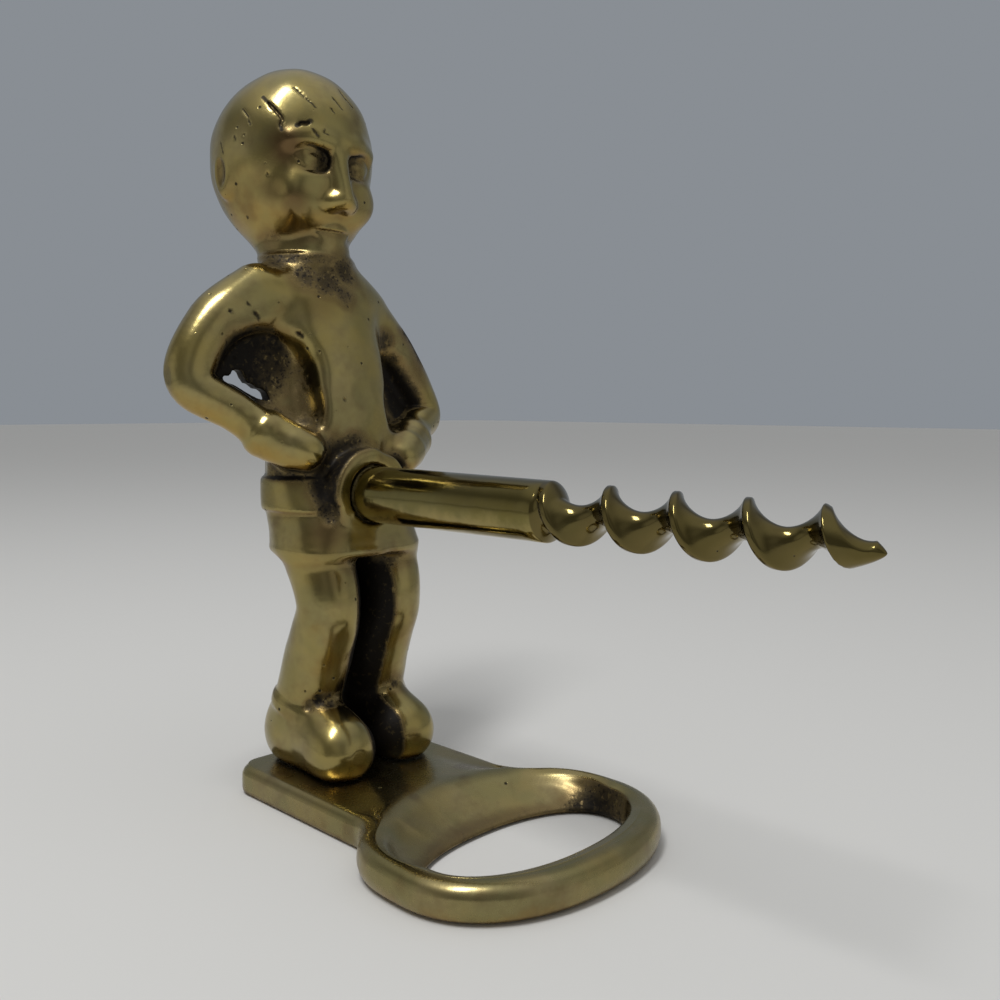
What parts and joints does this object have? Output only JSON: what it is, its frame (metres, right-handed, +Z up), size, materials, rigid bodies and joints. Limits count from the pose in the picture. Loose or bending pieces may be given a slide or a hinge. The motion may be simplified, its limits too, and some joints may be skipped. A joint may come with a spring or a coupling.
{
  "type": "figural corkscrew",
  "caption": "Straight-pull corkscrew: a standing cast figure holds a milled worm at its belt and stands on a plate with an oval cap lifter.",
  "frame": {"origin": "underside of the base plate, below the middle of its solid part between the feet", "axes": "+Z up through the standing figure, the worm and the cap lifter point towards -Y, the figure's left hand is at +X"},
  "size_m": [0.051, 0.1125, 0.1135],
  "materials": {
    "cast_brass": "polished cast brass with dark patina in its recesses",
    "plate_brass": "satin, worn cast brass",
    "turned_brass": "polished turned brass"
  },
  "bodies": {
    "root": {"figure_casting": "cast_brass", "opener_base": "plate_brass", "worm": "turned_brass", "foot_screw_right": "turned_brass", "foot_screw_left": "turned_brass"}
  },
  "joints": []
}
